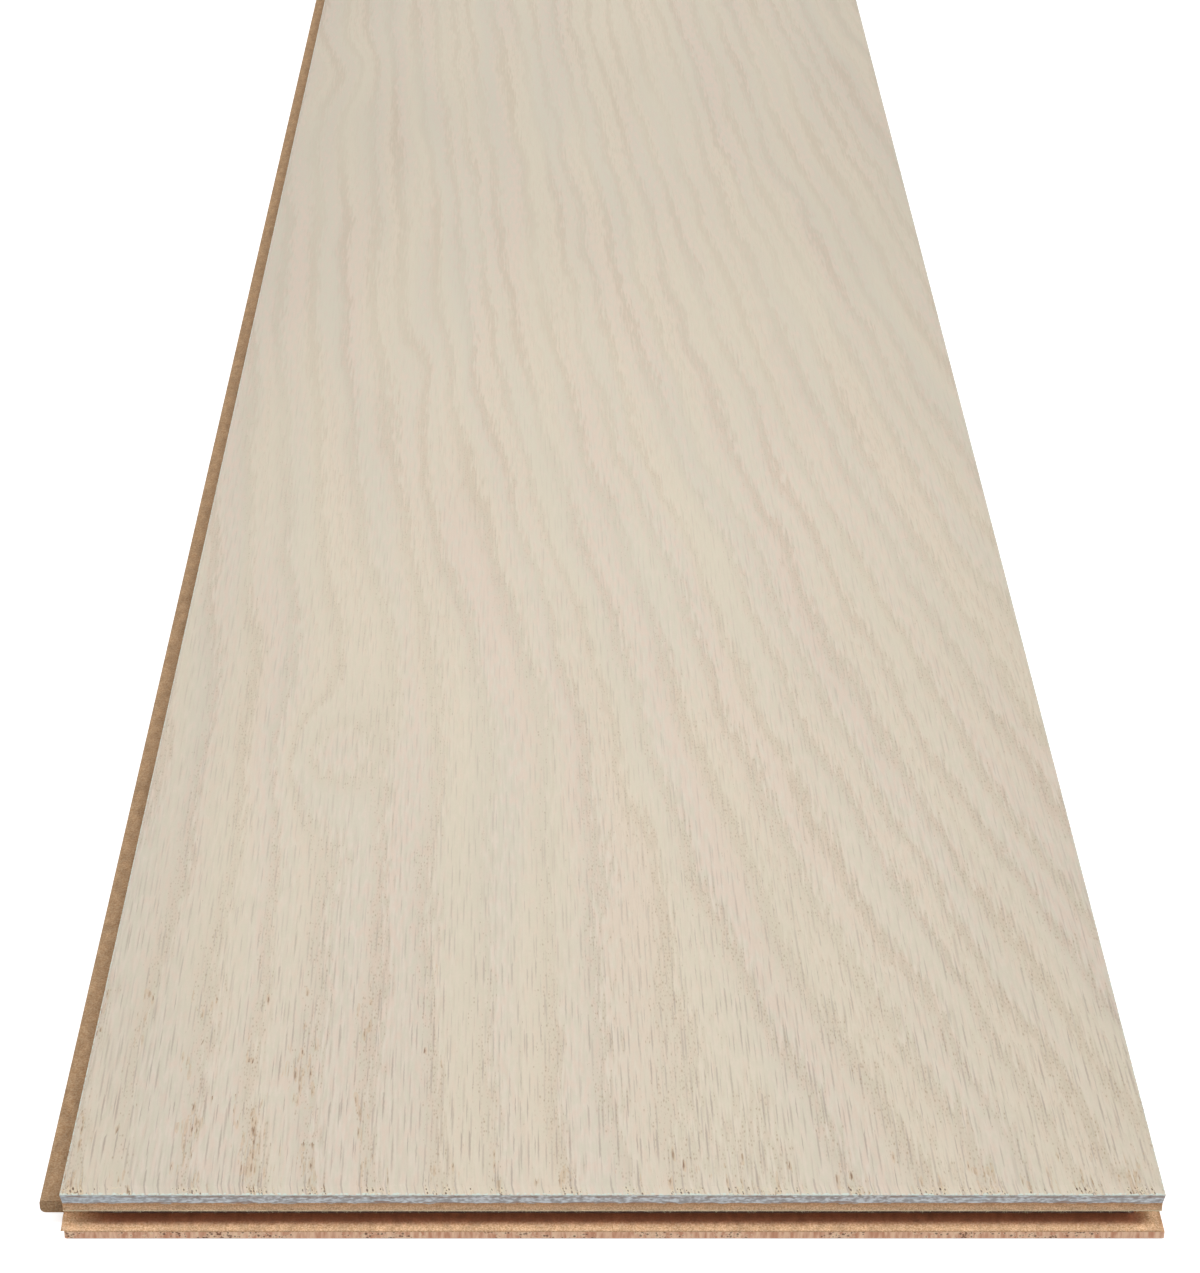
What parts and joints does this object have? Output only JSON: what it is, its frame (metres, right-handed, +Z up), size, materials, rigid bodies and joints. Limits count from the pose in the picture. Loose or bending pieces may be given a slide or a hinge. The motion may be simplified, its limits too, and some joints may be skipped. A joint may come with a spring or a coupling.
{
  "type": "engineered hardwood floorboard",
  "caption": "Flat oak-faced floorboard with a fibreboard core and backing veneer, bevelled face, tongues on one side and end, grooves on the other side and end",
  "frame": {"origin": "on the underside, below the centre of the face that shows once the floor is laid", "axes": "+X across the board from its tongue side to its groove side, +Y along the board from its groove end to its tongue end, +Z up out of the face"},
  "size_m": [0.1945, 1.9038, 0.0095],
  "materials": {
    "lacquered_oak": "satin",
    "fibreboard": "matte",
    "backing_wood": "matte"
  },
  "bodies": {
    "root": {"oak_wear_layer": "lacquered_oak", "hdf_core": "fibreboard", "backing_veneer": "backing_wood"}
  },
  "joints": []
}
